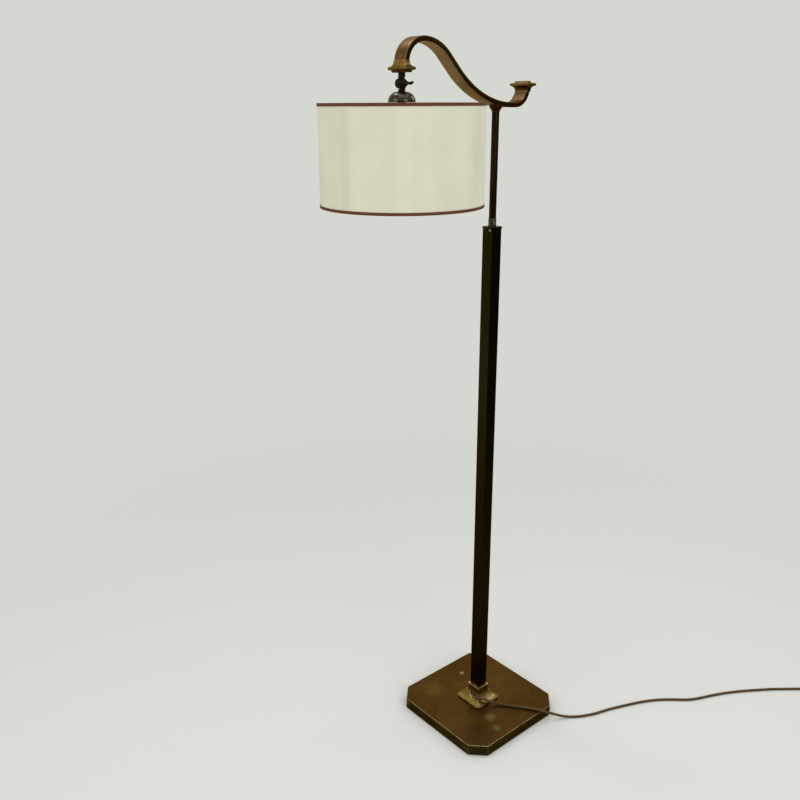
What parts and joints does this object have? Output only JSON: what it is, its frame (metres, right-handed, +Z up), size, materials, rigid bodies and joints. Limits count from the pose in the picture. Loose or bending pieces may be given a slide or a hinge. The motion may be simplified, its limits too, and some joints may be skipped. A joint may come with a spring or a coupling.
{
  "type": "floor lamp",
  "caption": "Floor lamp with an octagonal base, a square column, a telescoping and turning mast, a stiff swan-neck strap arm and a tilting drum shade on a knuckle.",
  "frame": {"origin": "on the floor under the middle of the column, at the centre of the base's foot", "axes": "+Z up along the column; the lamp hangs towards -X; +Y is the far side in the picture"},
  "size_m": [1.1606, 0.8063, 1.5532],
  "materials": {
    "base_brass": "aged brown brass, stained",
    "flange_brass": "aged yellow-olive brass",
    "column_brass": "dark patinated brass, satin",
    "arm_brass": "aged brown brass, satin",
    "inner_brass": "plain machined brass",
    "worn_brass": "worn greyish brass",
    "contact_brass": "plain brass",
    "bronze": "nearly black bronze, glossy",
    "iron": "rough cast",
    "steel": "plain steel",
    "wire": "plain wire",
    "bulb_cap": "plain",
    "felt": "felt",
    "flex": "brown braided flex",
    "shade_cloth": "cream shade cloth",
    "binding": "red-brown binding",
    "porcelain": "glazed white",
    "opal_glass": "opal",
    "plug_plastic": "dark brown moulded"
  },
  "bodies": {
    "stand": {"base_shell": "base_brass", "base_weight": "iron", "base_pad": "felt", "foot_flange": "flange_brass", "tie_rod": "steel", "tie_washer": "steel", "tie_nut": "steel", "column": "column_brass", "column_plug": "inner_brass", "column_cap": "worn_brass", "cap_screw": "bronze", "guide_sleeve": "worn_brass", "lead_foot": "flex", "flex_cord": "flex", "flex_coil": "flex", "coil_tie": "plug_plastic", "plug_body": "plug_plastic", "plug_pins": "steel"},
    "slider": {"slide_block": "inner_brass", "column_lead": "flex"},
    "mast": {"mast": "column_brass", "stop_collar": "inner_brass", "ring_nut": "inner_brass", "swivel_pin": "steel", "arm_collar": "flange_brass", "arm": "arm_brass", "arm_cap": "flange_brass", "arm_finial": "flange_brass", "knuckle_upper": "bronze", "inner_lead": "flex"},
    "head": {"knuckle_lower": "bronze", "dome": "bronze", "holder_cap": "bronze", "holder_body": "bronze", "holder_core": "porcelain", "screw_shell": "contact_brass", "centre_contact": "contact_brass", "shade_ring": "bronze", "bulb_cap": "bulb_cap", "bulb_glass": "opal_glass", "shade_spider": "wire", "bottom_ring": "wire", "shade_shell": "shade_cloth", "trim_top": "binding", "trim_bottom": "binding"},
    "thumb": {"thumb_screw": "bronze"},
    "switch": {"switch_key": "contact_brass"}
  },
  "joints": [
    {"name": "mast_slide", "type": "slide", "parent": "stand", "child": "slider", "axis": [0, 0, 1], "range_m": [-0.205, 0.25], "deforming": ["column_lead"]},
    {"name": "mast_swivel", "type": "hinge", "parent": "slider", "child": "mast", "pos_m": [0, 0, 1.2], "axis": [0, 0, 1], "range_deg": [-165, 165]},
    {"name": "head_tilt", "type": "hinge", "parent": "mast", "child": "head", "pos_m": [-0.245, 0, 1.473], "axis": [0, 1, 0], "range_deg": [-8, 45]},
    {"name": "thumb_turn", "type": "hinge", "parent": "mast", "child": "thumb", "pos_m": [-0.245, 0, 1.473], "axis": [0, 1, 0], "range_deg": [-180, 180]},
    {"name": "switch_turn", "type": "hinge", "parent": "head", "child": "switch", "pos_m": [-0.245, 0, 1.4109], "axis": [0, -1, 0], "range_deg": [0, 90]}
  ]
}
